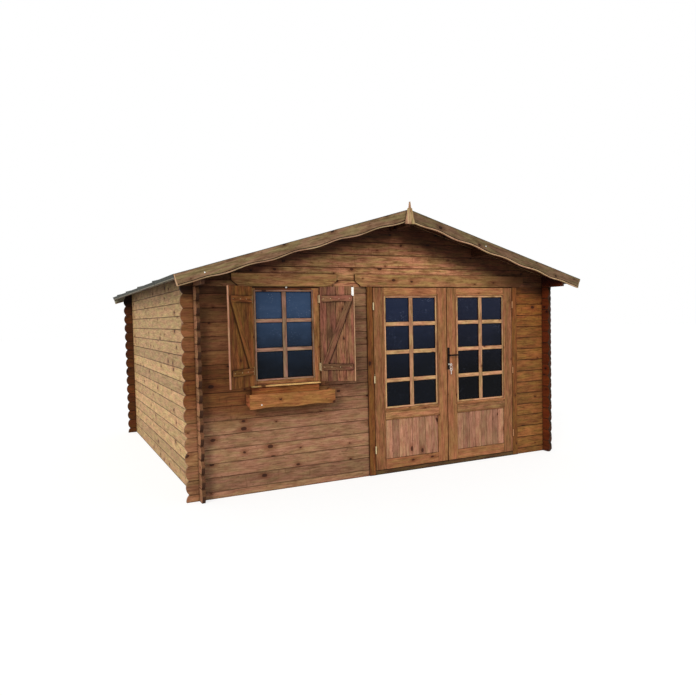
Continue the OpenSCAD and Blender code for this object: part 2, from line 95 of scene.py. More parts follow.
def rgb(red, green, blue):
    """A colour given as it looks on a screen, from 0 to 255, as the linear colour that a shader takes."""
    parts = [value / 255 for value in (red, green, blue)]
    linear = [p / 12.92 if p <= 0.04045 else ((p + 0.055) / 1.055) ** 2.4 for p in parts]
    return (*linear, 1.0)


# ==== Materials ====
class Nodes:
    """A node tree that is filled one call at a time."""

    def __init__(self, tree):
        self.tree = tree

    def put(self, socket, value):
        """Links an output to a socket, or sets the socket to a plain value."""
        if isinstance(value, bpy.types.NodeSocket):
            self.tree.links.new(value, socket)
        else:
            socket.default_value = value

    def node(self, kind, inputs, output=0, **settings):
        made = self.tree.nodes.new("ShaderNode" + kind)
        for name, value in settings.items():
            setattr(made, name, value)
        for key, value in inputs.items():
            self.put(made.inputs[key], value)
        return made.outputs[output]

    def math(self, operation, *values):
        return self.node("Math", dict(enumerate(values)), operation=operation)

    def times(self, first, second):
        return self.math("MULTIPLY", first, second)

    def line(self, value, slope, start):
        """value times slope, plus start."""
        return self.math("MULTIPLY_ADD", value, slope, start)

    def vector(self, operation, *values, output=0):
        return self.node("VectorMath", dict(enumerate(values)), output, operation=operation)

    def join(self, x, y, z):
        return self.node("CombineXYZ", {0: x, 1: y, 2: z})

    def split(self, vector):
        return list(self.node("SeparateXYZ", {0: vector}).node.outputs)

    def mix(self, factor, first, second, blend="MIX"):
        return self.node("Mix", {0: factor, 6: first, 7: second}, 2, data_type="RGBA", blend_type=blend)

    def noise(self, vector, scale=1.0, detail=2.0, roughness=0.5):
        inputs = {"Vector": vector, "Scale": scale, "Detail": detail, "Roughness": roughness}
        return self.node("TexNoise", inputs, "Fac")

    def ease(self, value, start, end, to_low=0.0, to_high=1.0):
        """A smooth rise from to_low at start to to_high at end."""
        inputs = {"Value": value, "From Min": start, "From Max": end, "To Min": to_low, "To Max": to_high}
        return self.node("MapRange", inputs, "Result", interpolation_type="SMOOTHSTEP")

    def scaled(self, vector, x, y, z):
        return self.vector("MULTIPLY", vector, (x, y, z))


class Look(Nodes):
    """A material whose colour and roughness are built up and then given to its shader."""

    def __init__(self, name):
        self.material = bpy.data.materials.new(name)
        self.material.use_nodes = True
        super().__init__(self.material.node_tree)
        self.shader = self.tree.nodes["Principled BSDF"]

    def place(self):
        """The point's own place in the frame: every CAD object and piece sits at the origin."""
        return self.node("TexCoord", {}, "Object")

    def carried(self, what, output="Fac"):
        """What a board made here carries: its grain coordinates, its tone, or the mark of its sawn sides."""
        return self.node("Attribute", {}, output, attribute_name=what)

    def bump(self, height, distance, strength):
        inputs = {"Height": height, "Distance": distance, "Strength": strength}
        self.put(self.shader.inputs["Normal"], self.node("Bump", inputs))

    def blend(self, share, shade, kind="MIX"):
        """Mixes a share of a shade into the colour."""
        self.colour = self.mix(share, self.colour, shade, kind)

    def finish(self, others=()):
        sockets = {"Base Color": self.colour, "Roughness": self.roughness, **dict(others)}
        for name, value in sockets.items():
            self.put(self.shader.inputs[name], value)
        return self.material


PLAIN = (1, 1, 1, 1)  # a tint that changes nothing


def tinted(colour, red, green, blue):
    """A linear colour with each channel multiplied."""
    return (colour[0] * red, colour[1] * green, colour[2] * blue, 1.0)


def wood(look, grain, tone, mean, knots=0.4, contrast=1.0, tones=0.2, knot_size=1.0, painted_crease_shade_depth=0.92):
    """Pine: its colour, roughness and relief, with painted shade in creases and gaps. grain runs along, across and
    through the board, in metres.
    """
    across, through = look.split(grain)[1:]

    # Knots: one may sit in each cell of a stretched pattern, and the fibres run round it.
    cell = (0.25, 0.085, 1.0)
    cells = look.vector("DIVIDE", grain, cell)
    centre = look.node("TexVoronoi", {"Vector": cells, "Scale": 1.0}, "Position", voronoi_dimensions="2D")
    luck, size, _ = look.split(centre.node.outputs["Color"])
    away = look.vector("MULTIPLY", look.vector("SUBTRACT", cells, centre), cell)
    away = look.scaled(away, 0.62, 1.0, 0.0)
    ragged = look.line(look.noise(grain, 85.0, 3.0), 0.012, -0.006)
    distance = look.math("ADD", look.vector("LENGTH", away, output="Value"), ragged)
    present = look.math("LESS_THAN", luck, knots)
    radius = look.line(look.math("POWER", size, 2.2), 0.0115, 0.0045)
    radius = look.times(radius, look.times(present, knot_size))
    knot = look.ease(look.math("SUBTRACT", radius, distance), -0.001, 0.003)
    halo = look.ease(distance, look.times(radius, 3.6), look.times(radius, 0.9))
    halo = look.times(halo, present)

    def stretched(along, across, detail=2.0, roughness=0.5, scale=1.0):
        """Noise drawn out along the fibres."""
        return look.noise(look.scaled(grain, along, across, across), scale, detail, roughness)

    # Growth rings round a pith outside the board, warped so that they show as long loops.
    slow = stretched(1.6, 8.0)
    sideways = look.line(tone, -0.045, across)
    reach = look.vector("LENGTH", look.join(sideways, look.math("ADD", through, 0.03), 0.0), output="Value")
    reach = look.line(slow, 0.11, reach)
    reach = look.line(halo, 0.016, reach)
    rings = look.math("SINE", look.times(reach, math.tau / 0.017))
    late = look.ease(rings, -0.2, 1.0)

    fibre = stretched(7.0, 240.0, 3.0, 0.6)
    streak = stretched(8.0, 66.0, 4.0, 0.70)
    patch = stretched(6.0, 17.0, 4.0, 0.65)
    stain = stretched(5.0, 6.0, 4.0, 0.65, 3.0)
    fleck = stretched(26.0, 75.0, 2.0, 0.7)

    depth = look.line(late, 0.20 * contrast, 0.5 - 0.68 * contrast)
    depth = look.line(look.ease(fibre, 0.3, 0.75), 0.14 * contrast, depth)
    depth = look.line(look.ease(streak, 0.38, 0.64), 0.60 * contrast, depth)
    depth = look.line(look.ease(patch, 0.36, 0.66), 0.44 * contrast, depth)
    look.colour = look.mix(depth, tinted(mean, 1.48, 1.56, 1.62), tinted(mean, 0.50, 0.42, 0.37))
    hue = stretched(4.0, 24.0)
    olive = (1 - 0.07 * contrast, 1 + 0.03 * contrast, 1 - 0.16 * contrast, 1)
    red = (1 + 0.07 * contrast, 1 - 0.08 * contrast, 1 - 0.04 * contrast, 1)
    hue = look.mix(look.ease(hue, 0.38, 0.62), olive, red)
    look.blend(1.0, hue, "MULTIPLY")
    look.blend(look.ease(stain, 0.46, 0.70, 0.0, 0.5), tinted(mean, 1.0, 0.78, 0.74))
    look.blend(look.ease(fleck, 0.60, 0.72, 0.0, 0.55), tinted(mean, 0.36, 0.28, 0.24))
    look.blend(look.times(halo, 0.6), tinted(mean, 0.50, 0.30, 0.22))
    look.blend(look.times(knot, 0.92), tinted(mean, 0.13, 0.07, 0.05))
    # Painted shade: an ambient occlusion mask darkens the colour in creases, gaps and corners.
    painted_crease_shade = look.node("AmbientOcclusion", {"Distance": 0.022}, "AO", samples=6)
    look.blend(look.ease(painted_crease_shade, 0.90, 0.42, 0.0, painted_crease_shade_depth), tinted(mean, 0.10, 0.06, 0.04))
    look.colour = look.vector("SCALE", look.colour)
    look.put(look.colour.node.inputs["Scale"], look.line(tone, tones, 1.0))
    look.roughness = look.line(fibre, 0.18, 0.62)

    relief = look.line(late, 0.3, look.times(fibre, 0.6))
    relief = look.line(knot, 0.5, relief)
    look.bump(relief, 0.0008, 0.8)
    look.put(look.shader.inputs["Specular IOR Level"], 0.18)


def made_wood(look, *settings):
    """Pine of boards made here."""
    wood(look, look.carried("grain", "Vector"), look.carried("tone"), *settings)


def board_wood(name, mean, knots=0.4, contrast=1.0, tones=0.2, rim=0.0):
    """Wood of boards made here. rim is how dark their sawn sides are: partly darker end grain, partly painted shade
    along the boards' edges and gaps.
    """
    look = Look(name)
    made_wood(look, mean, knots, contrast, tones)
    # Painted shade along the sawn sides, with their darker end grain.
    if rim:
        look.blend(look.times(look.carried("rim"), rim), tinted(mean, 0.16, 0.10, 0.07))
    return look.finish()


def head_wood(name, mean):
    """Wood of the boards over the openings, with painted shade towards the right-hand eave and along their sawn sides.
    """
    look = Look(name)
    made_wood(look, mean)
    # Painted shade: darker towards the right-hand eave.
    uneven = look.noise(look.carried("grain", "Vector"), 4.0, 3.0)
    across = look.line(uneven, 0.3, look.split(look.place())[0])
    painted_eave_shade = look.ease(across, 0.8, 1.75, 0.0, 0.92)
    look.blend(painted_eave_shade, tinted(mean, 0.20, 0.13, 0.08))
    # Painted shade along the sawn sides, with their darker end grain.
    look.blend(look.times(look.carried("rim"), 0.95), tinted(mean, 0.14, 0.08, 0.05))
    return look.finish()


def beam_wood(name, mean):
    """Wood of a CAD beam that runs from front to back."""
    look = Look(name)
    x, y, z = look.split(look.place())
    wood(look, look.join(y, x, z), 0.0, mean, 0.3)
    return look.finish()


def log_wood(name, axis, seed, mean, upper_tint, upper_tint_from, upper_tint_to, tips=PLAIN, cut_tips_shade=PLAIN, seam=0.7, knots=0.34,
             contrast=1.0, upper_tint_until=9.0):
    """Wood of a wall of logs that run along axis: tones by log, dark seams, and a different tint higher up.

    tips tints the ends that run past the crossing walls; a tint of their own darkens the rounded cuts of the side
    logs' ends as painted shade. The front logs get painted shade under the roof.
    """
    look = Look(name)
    first_joint, middle, tips_from = (-LOG_HEIGHT / 2, 0.0, 1.885) if axis == "X" else (0.0, MIDDLE, 1.85)
    place = look.split(look.place())
    along, through = place[:2] if axis == "X" else place[1::-1]
    from_middle = look.math("SUBTRACT", along, middle)
    courses = look.math("DIVIDE", look.math("SUBTRACT", place[2], first_joint), LOG_HEIGHT)
    number = look.math("ADD", look.math("FLOOR", courses), seed)
    luck, second = [look.node("TexWhiteNoise", {"W": chance}, "Value", noise_dimensions="1D")
                    for chance in (number, look.math("ADD", number, 77.7))]
    tone = look.line(luck, 2.0, -1.0)
    within = look.times(look.math("FRACT", courses), LOG_HEIGHT)
    across = look.line(luck, 17.0, within)
    grain = look.join(look.line(second, 61.0, along), across, through)
    wood(look, grain, tone, mean, knots, contrast, 0.2, 1.2, 0.7)

    # Rain has drawn short dark dashes down some logs.
    dash = look.noise(look.join(look.times(along, 34.0), look.times(place[2], 7.0), number), 1.0)
    dash = look.times(look.ease(dash, 0.60, 0.70), look.ease(second, 0.45, 0.75, 0.0, 0.45))
    look.blend(dash, tinted(mean, 0.42, 0.32, 0.26))

    upper_tint_share = look.noise(look.join(along, 0.0, look.times(place[2], 1.5)), 2.3, 4.0)
    upper_tint_share = look.line(upper_tint_share, 0.5, look.math("ADD", place[2], -0.25))
    upper_tint_share = look.times(look.ease(upper_tint_share, upper_tint_from, upper_tint_to), look.ease(place[2], 1.0, 1.3, 1.0, 0.75))
    upper_tint_share = look.times(upper_tint_share, look.ease(along, upper_tint_until, upper_tint_until + 0.3, 1.0, 0.35))
    look.blend(upper_tint_share, upper_tint, "MULTIPLY")
    reach = look.math("SUBTRACT", look.math("ABSOLUTE", from_middle), tips_from)
    tip = look.ease(reach, -0.002, 0.002)
    look.blend(tip, tips, "MULTIPLY")
    to_seam = look.math("MINIMUM", within, look.math("SUBTRACT", LOG_HEIGHT, within))
    faint = look.ease(look.noise(look.join(along, number, 0.0), 2.6, 3.0), 0.35, 0.65, 0.5, 1.0)
    seam_dirt_and_notch_shade = look.times(look.ease(to_seam, 0.0085, 0.0020, 0.0, seam), faint)
    if axis == "X":
        # Painted shade under the roof: a dark band below the bargeboards that widens to the right, and more of it
        # towards the right-hand eave.
        under_roof = look.line(look.math("ABSOLUTE", along), -math.tan(PITCH), RIDGE)
        under_roof = look.math("SUBTRACT", under_roof, place[2])
        under_roof = look.line(look.noise(grain, 5.0, 3.0), 0.10, under_roof)
        under_barge = look.math("SUBTRACT", under_roof, 0.15)
        share = look.math("DIVIDE", under_barge, look.ease(along, -0.7, 0.4, 0.15, 0.28))
        painted_eave_shade = look.ease(share, 1.0, 0.2, 0.0, 0.94)
        end = look.times(look.ease(under_roof, 0.36, 0.24), look.ease(along, 0.7, 1.3, 0.0, 0.85))
        painted_eave_shade = look.math("MAXIMUM", painted_eave_shade, end)
        look.blend(painted_eave_shade, (0.10, 0.052, 0.028, 1), "MULTIPLY")
    else:
        # Painted shade: the rounded cuts of the tips, and the lower half of each notch, are darkened where shade falls;
        # the seams' darkness is dirt.
        flat = look.math("ABSOLUTE", look.split(look.node("NewGeometry", {}, "Normal"))[0])
        cut = look.times(look.ease(flat, 0.55, 0.25), look.ease(reach, 0.045, 0.085))
        look.blend(cut, cut_tips_shade, "MULTIPLY")
        painted_notch_shade = look.math("MAXIMUM", look.ease(within, 0.066, 0.052), look.ease(to_seam, 0.012, 0.005))
        seam_dirt_and_notch_shade = look.math("MAXIMUM", seam_dirt_and_notch_shade, look.times(look.times(cut, painted_notch_shade), 0.95))
        # Painted shade under the eave along the side walls' top logs.
        painted_eave_shade = look.line(look.noise(grain, 7.0, 3.0, 0.65), 0.22, look.math("ADD", place[2], -0.11))
        painted_eave_shade = look.ease(painted_eave_shade, SIDE_TOP - 0.13, SIDE_TOP - 0.03, 0.0, 0.85)
        look.blend(painted_eave_shade, (0.40, 0.38, 0.32, 1), "MULTIPLY")
        # Painted shade on the top logs' ends that carry the roof's front overhang.
        painted_corbel_shade = look.times(tip, look.ease(place[2], SIDE_TOP - 0.15, SIDE_TOP - 0.06))
        look.blend(painted_corbel_shade, (0.46, 0.31, 0.22, 1), "MULTIPLY")
    look.blend(seam_dirt_and_notch_shade, tinted(mean, 0.09, 0.05, 0.04))
    return look.finish()


def deck_wood(name, mean):
    """Wood of the roof boards: bare over the room, and much darker where they run out past the walls."""
    look = Look(name)
    made_wood(look, mean)
    across, along, _ = look.split(look.place())
    inside = low("right_wall").x
    beside = look.ease(look.math("ABSOLUTE", across), inside, inside + 0.01)
    beyond = look.math("ABSOLUTE", look.math("SUBTRACT", along, MIDDLE))
    beyond = look.ease(beyond, HALF_DEPTH, HALF_DEPTH + 0.01)
    darker_past_walls = look.math("MAXIMUM", beside, beyond)
    look.blend(darker_past_walls, (0.12, 0.06, 0.036, 1), "MULTIPLY")
    return look.finish()


def metal(name, colour, roughness, metallic, shine=0.5, tarnish=None):
    """Worn metal: slow blotches in its colour and gloss, and fine scratches. Towards +X it may tarnish."""
    look = Look(name)
    place = look.place()
    blotch = look.noise(place, 60.0, 3.0)
    fine = look.noise(look.scaled(place, 900.0, 900.0, 60.0), 1.0, 2.0)
    look.colour = look.mix(look.ease(blotch, 0.35, 0.7, 0.0, 0.35), colour, tinted(colour, 0.55, 0.55, 0.55))
    if tarnish:
        look.blend(look.ease(look.split(place)[0], 0.6, 1.2), tarnish)
    look.roughness = look.line(blotch, 0.25, roughness)
    look.bump(fine, 0.0002, 0.4)
    return look.finish({"Metallic": metallic, "Specular IOR Level": shine})


def glass(name, reflected_sky_colour, lower, dark_until):
    """Glass over a dark room: a painted reflection of the sky, navy higher up with paler painted clouds, nearly black
    low down, with dried drops and painted shade at the rebates.
    """
    look = Look(name)
    place = look.place()
    height = look.split(place)[2]
    # Painted reflection: the sky's colour rises up the pane, with paler painted clouds in it.
    painted_sky_reflection = look.ease(look.line(look.noise(place, 3.0), 0.25, height), dark_until, 1.85)
    look.colour = look.mix(painted_sky_reflection, lower, reflected_sky_colour)
    painted_cloud_reflection = look.noise(look.scaled(place, 9.0, 9.0, 22.0), 1.0, 4.0, 0.7)
    painted_cloud_reflection = look.times(look.ease(painted_cloud_reflection, 0.42, 0.72, 0.0, 0.35), look.ease(painted_sky_reflection, 0.0, 1.0, 0.1, 1.0))
    look.blend(painted_cloud_reflection, tinted(reflected_sky_colour, 1.7, 1.45, 1.35))
    drops = look.node("TexVoronoi", {"Vector": place, "Scale": 75.0}, "Distance")
    where = look.ease(look.noise(place, 9.0, 3.0), 0.45, 0.7)
    spots = look.times(look.ease(drops, 0.22, 0.10), where)
    look.blend(look.times(spots, look.ease(height, 1.0, 1.7, 0.2, 0.8)), rgb(150, 160, 190))
    # Painted shade: the pane turns nearly black where the bars and frame close over it.
    painted_rebate_shade = look.node("AmbientOcclusion", {"Distance": 0.02}, "AO", samples=6)
    look.blend(look.ease(painted_rebate_shade, 0.85, 0.45, 0.0, 0.85), rgb(6, 5, 7))
    look.roughness = look.line(spots, 0.4, 0.06)
    return look.finish({"Alpha": 0.93, "IOR": 1.45, "Specular IOR Level": 0.078})


def felt():
    """Mineral felt: grey-green granules, with paler worn patches; painted shade on its fold and a painted highlight
    along the fold's foot.
    """
    look = Look("roofing_felt")
    place = look.place()
    grains = look.noise(place, 650.0, 2.0, 0.7)
    worn = look.noise(place, 2.1, 4.0, 0.6)
    look.colour = look.mix(look.ease(grains, 0.35, 0.65), rgb(58, 62, 58), rgb(122, 126, 120))
    look.blend(look.ease(worn, 0.4, 0.75, 0.0, 0.5), rgb(138, 139, 131))
    across, _, height = look.split(place)
    across = look.math("ABSOLUTE", across)
    below = look.math("SUBTRACT", RIDGE, height)
    down = look.line(across, math.cos(PITCH), look.times(below, math.sin(PITCH)))
    depth = look.line(across, -math.sin(PITCH), look.times(below, math.cos(PITCH)))
    # Painted shade on the fold's upright face.
    fold = look.ease(down, FELT_SLOPE - 0.004, FELT_SLOPE - 0.0025)
    look.blend(look.times(fold, 0.85), rgb(44, 44, 36))
    # A painted highlight along the foot of the fold.
    rim = look.times(fold, look.ease(depth, 0.028, 0.031))
    look.blend(look.times(rim, 0.9), rgb(168, 160, 140))
    look.bump(grains, 0.0012, 0.8)
    look.roughness = 0.93
    return look.finish()


def peg_white():
    """Chalky white plastic of the small peg over the window."""
    look = Look("white_peg")
    speck = look.noise(look.place(), 300.0)
    look.colour = look.mix(speck, rgb(236, 234, 226), rgb(205, 200, 190))
    look.roughness = 0.55
    return look.finish()


# Axis, seed, colour, tint higher up, the heights where that tint starts and ends, tints of the tips and of their cuts
# (the cuts' tint is painted shade), darkness of the seams, share of knots, contrast, and the x from which the upper
# tint is weak.
LOGS = {
    "front_logs": ("X", 3.0, rgb(142, 105, 79), (0.52, 0.36, 0.19, 1), 0.50, 0.85, (1.0, 0.95, 0.82, 1), PLAIN, 0.35,
                   0.34, 0.75, -0.85),
    # The right corner's log ends past the side wall take a dark tint: painted shade.
    "right_logs": ("X", 41.0, rgb(128, 84, 43), (1.06, 0.85, 0.62, 1), 0.9, 1.7, (0.30, 0.16, 0.12, 1), PLAIN, 0.8,
                   0.34, 0.95),
    "gable_logs": ("X", 23.0, rgb(186, 134, 95), (0.45, 0.36, 0.27, 1), 2.02, 2.28, PLAIN, PLAIN, 0.8, 0.34, 1.15),
    "back_logs": ("X", 57.0, rgb(153, 111, 75), (0.80, 0.72, 0.60, 1), 0.6, 1.4, (0.235, 0.141, 0.061, 1)),
    # The side walls' logs are lighter than the front's: partly their own paler wood, partly painted sunlight.
    "left_logs": ("Y", 11.0, rgb(182, 149, 107), (0.76, 0.74, 0.70, 1), 1.45, 2.0, (0.64, 0.49, 0.52, 1),
                  (0.42, 0.37, 0.31, 1), 0.75, 0.38, 0.65),
    "side_logs": ("Y", 71.0, rgb(186, 151, 108), (0.76, 0.74, 0.70, 1), 1.45, 2.0, (0.205, 0.061, 0.021, 1),
                  (0.20, 0.45, 0.30, 1), 0.75, 0.38, 0.65),
}
# Colour, share of knots, contrast, spread of the tones, and darkness of the sawn sides (partly painted shade).
BOARDS = {
    "trim": (rgb(157, 111, 66),),
    "casement": (rgb(150, 102, 65), 0.2, 1.0, 0.2, 0.6),
    # Darker: painted shade on the window's head rail under the head board.
    "casement_head": (rgb(108, 62, 32), 0.2),
    "barge": (rgb(122, 99, 73), 0.35),
    "rear_barge": (rgb(146, 140, 124), 0.2, 0.7),
    # Paler planed wood, partly a painted highlight on the bargeboards' beads and front left end.
    "pale_trim": (rgb(170, 139, 109), 0.15, 0.7),
    "finial": (rgb(163, 134, 103), 0.15, 1.3),
    # Near black: painted shade in the bargeboards' shallow groove.
    "groove": (rgb(40, 25, 15), 0.0, 0.5),
    "door": (rgb(145, 98, 64), 0.22, 0.85, 0.3, 0.6),
    "panel": (rgb(157, 114, 89), 0.3, 0.65, 0.30, 0.75),
    "bead": (rgb(144, 110, 91), 0.1, 0.9, 0.3, 0.7),
    "door_bead": (rgb(182, 139, 102), 0.1, 0.9, 0.35, 0.85),
    "jamb": (rgb(113, 69, 32), 0.25, 1.0, 0.2, 0.93),
    "apron": (rgb(158, 94, 50),),
    "cover_bar": (rgb(150, 106, 72), 0.3, 1.0, 0.2, 0.8),
    "threshold": (rgb(78, 56, 32),),
    "left_shutter": (rgb(123, 78, 39), 0.25, 1.3, 0.35, 0.8),
    "right_shutter": (rgb(113, 74, 55), 0.25, 1.3, 0.35, 0.8),
    "planter": (rgb(146, 97, 54), 0.2, 0.8),
    "planter_side": (rgb(150, 90, 56),),
    "left_strip": (rgb(158, 116, 91), 0.0, 0.6),
    # A lighter copy of the left shutter's edge strip: painted light on the right shutter's lit edge.
    "right_strip": (rgb(196, 156, 118), 0.0, 0.6),
    "sill": (rgb(196, 153, 99), 0.1, 0.7),
    "inside": (rgb(176, 136, 96),),
}
# Colour, roughness, metallic, shine, and colour of the tarnish.
METALS = {
    # Near white: a painted glint on the keys, bolt and screws over their plain steel.
    "steel": (rgb(248, 247, 244), 0.30, 0.25),
    "zinc": (rgb(196, 194, 186), 0.30, 1.0),
    "hinge_zinc": (rgb(214, 194, 150), 0.40, 0.5, 0.5, rgb(166, 118, 78)),
    "black_iron": (rgb(14, 10, 9), 0.45, 0.0, 0.1),
}
# Colour of the painted sky reflection at the top, the lower colour, and the height up to which the glass is dark.
GLASSES = {
    "window_glass": (rgb(54, 74, 104), rgb(15, 20, 28), 1.12),
    "left_door_glass": (rgb(34, 42, 65), rgb(14, 17, 24), 1.0),
    "right_door_glass": (rgb(32, 37, 56), rgb(9, 10, 14), 1.0),
}
LOOKS = {
    "head_board": head_wood("head_board", rgb(156, 114, 74)),
    # Dark brown: painted shade under the roof.
    "purlin": beam_wood("purlin", rgb(64, 37, 20)),
    "batten": beam_wood("batten", rgb(80, 66, 50)),
    "deck": deck_wood("deck", rgb(176, 136, 96)),
    "felt": felt(),
    "white": peg_white(),
}
for kind, table in ((log_wood, LOGS), (board_wood, BOARDS), (metal, METALS), (glass, GLASSES)):
    LOOKS.update({name: kind(name, *values) for name, values in table.items()})


# ==== Pieces ====
RIGHT, BACK, UP = Vector((1, 0, 0)), Vector((0, 1, 0)), Vector((0, 0, 1))


def shaped(shape, name, smooth=False):
    """An object made from a finished shape."""
    bmesh.ops.recalc_face_normals(shape, faces=shape.faces)
    mesh = bpy.data.meshes.new(name)
    shape.to_mesh(mesh)
    shape.free()
    if smooth:
        mesh.polygons.foreach_set("use_smooth", [True] * len(mesh.polygons))
    return bpy.data.objects.new(name, mesh)


def settle(piece, look, replaced=(), bevel=0.0, body="cabin"):
    """Links a piece, gives it its look and edges, hangs it on its body and hides the CAD nodes that it stands for."""
    bpy.context.scene.collection.objects.link(piece)
    piece.data.materials.append(LOOKS[look])
    if bevel:
        edges = piece.modifiers.new("edges", "BEVEL")
        edges.width = bevel
        edges.segments = 2
        edges.limit_method = "ANGLE"
        edges.angle_limit = math.radians(38)
    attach(piece, body)
    if replaced:
        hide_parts(*replaced)


class Timber:
    """Boards gathered into one piece. Each has its own grain coordinates, as if cut from its own log."""

    def __init__(self, seed):
        self.chance = random.Random(seed)
        self.shape = bmesh.new()
        self.grain = self.shape.verts.layers.float_vector.new("grain")
        self.tone = self.shape.verts.layers.float.new("tone")
        self.rim = self.shape.faces.layers.float.new("rim")

    def plank(self, outline, front, back, place=Matrix(), grain="x", tone=None):
        """A board with an outline in x and z, from y = front to back. Its fibres run along grain."""
        wide = max(x for x, _ in outline) - min(x for x, _ in outline)
        tall = max(z for _, z in outline) - min(z for _, z in outline)
        order = {"x": (0, 2, 1), "z": (2, 0, 1), "y": (1, 0, 2) if wide > tall else (1, 2, 0)}[grain]
        shift = Vector((self.chance.uniform(0, 60), self.chance.uniform(0, 30), self.chance.uniform(0, 0.02)))
        middle = Vector((outline[0][0], (front + back) / 2, outline[0][1]))
        own = self.chance.uniform(-1, 1) if tone is None else tone
        rims = []
        for y in (front, back):
            rim = []
            for x, z in outline:
                point = Vector((x, y, z))
                corner = self.shape.verts.new(place @ point)
                local = point - middle
                corner[self.grain] = Vector([local[axis] for axis in order]) + shift
                corner[self.tone] = own
                rim.append(corner)
            rims.append(rim)
        self.shape.faces.new(rims[0])
        self.shape.faces.new(reversed(rims[1]))
        for i in range(len(outline)):
            j = (i + 1) % len(outline)
            side = self.shape.faces.new((rims[0][j], rims[0][i], rims[1][i], rims[1][j]))
            side[self.rim] = 1.0

    def block(self, x, y, z, grain="x", place=Matrix(), tone=None):
        self.plank([(x[0], z[0]), (x[1], z[0]), (x[1], z[1]), (x[0], z[1])], y[0], y[1], place, grain, tone)

    def row(self, start, end, count):
        """The two sides of each of count boards laid side by side from start to end."""
        step = (end - start) / count
        return [(start + i * step + JOINT / 2, start + (i + 1) * step - JOINT / 2) for i in range(count)]

    def piece(self, name, look, replaced=(), bevel=0.0015, body="cabin", slot="trim_wood"):
        settle(shaped(self.shape, name), look, replaced, bevel, body)


def circle(middle, right, up, radius, sides=20):
    """Points round a circle."""
    angles = [math.tau * i / sides for i in range(sides)]
    return [middle + (right * math.cos(angle) + up * math.sin(angle)) * radius for angle in angles]


def skin(shape, rings, closed=False):
    """Faces from each ring of points to the next one. Closed rings end where they start; others have end faces."""
    rings = [[shape.verts.new(spot) for spot in ring] for ring in rings]
    if not closed:
        shape.faces.new(reversed(rings[0]))
        shape.faces.new(rings[-1])
    for first, second in zip(rings, rings[1:] + (rings[:1] if closed else [])):
        for i in range(len(first)):
            j = (i + 1) % len(first)
            shape.faces.new((first[i], first[j], second[j], second[i]))


def turned(name, profile, places, look, body="cabin", slot="zinc_metal", sides=20):
    """Copies of one turned shape. The profile is (radius, height) from foot to top, round each place's z."""
    shape = bmesh.new()
    for place in places:
        skin(shape, [[place @ spot for spot in circle(UP * height, RIGHT, BACK, radius, sides)]
                     for radius, height in profile])
    piece = shaped(shape, name, True)
    settle(piece, look, body=body)
    piece.data.set_sharp_from_angle(angle=math.radians(35))


def facing_front(x, y, z):
    """A place whose z axis points out of the front wall."""
    return Matrix.Translation((x, y, z)) @ Matrix.Rotation(math.pi / 2, 4, "X")


def slope_place(side):
    """A place on the roof: x runs down the slope from the ridge and z is square to the felt's top."""
    flip = Matrix.Scale(-1, 4, (1, 0, 0)) if side < 0 else Matrix()
    return Matrix.Translation((0, 0, RIDGE)) @ flip @ Matrix.Rotation(PITCH, 4, "Y")


def cad_look(look, *nodes):
    """Gives the CAD nodes whose shape is kept their material."""
    for node in nodes:
        kept = frame["nodes"][node]
        for slot in kept.material_slots:
            slot.material = LOOKS[look]


# ---- Walls and floor ----
def walls():
    """The walls keep the CAD logs, and take a look each."""
    for look, node in (("front_logs", "front_wall_left"), ("right_logs", "front_wall_right"),
                       ("gable_logs", "front_gable"), ("back_logs", "back_wall"), ("left_logs", "left_wall"),
                       ("side_logs", "right_wall")):
        cad_look(look, node)


def floor_pieces():
    x, y, z = spans("floor_boards")
    boards = Timber(5)
    for board in boards.row(*x, 39):
        boards.block(board, y, z, "y")
    boards.piece("floor_board_row", "inside", ["floor_boards"], 0.001)
    x, y, z = spans("floor_joists")
    joists = Timber(6)
    count, width = 7, 0.06
    step = (y[1] - y[0] - width) / (count - 1)
    for i in range(count):
        joists.block(x, (y[0] + i * step, y[0] + i * step + width), z)
    joists.piece("joist_row", "trim", ["floor_joists"], slot="log_wood")


# ---- Roof ----
def roof_boards(side, node):
    """Boards from the ridge to the eave, laid side by side along the roof."""
    boards = Timber(30 + side)
    top, foot = -FELT, -FELT - ROOF_BOARD
    lean = math.tan(PITCH)
    for y in boards.row(BARGE_BACK, ROOF_BACK, 45):
        length = BOARD_SLOPE - boards.chance.uniform(0, 0.002)
        outline = [(-top * lean, top), (length, top), (length, foot), (-foot * lean, foot)]
        boards.plank(outline, y[0], y[1], slope_place(side))
    boards.piece(node + "_row", "deck", [node], 0.0025)


def barge_edge(s):
    """Depth of a bargeboard's lower edge under the felt's top, at a distance down the slope."""
    depth, swing, lowest_at, wavelength, straight = 0.098, 0.007, 0.147, 0.41, 0.12
    wave = swing * math.cos(math.tau * (s - lowest_at) / wavelength)
    # The waves fade into a straight edge at the eave.
    return depth + wave * min(1.0, max(0.0, (BOARD_SLOPE - straight - s) / 0.2))


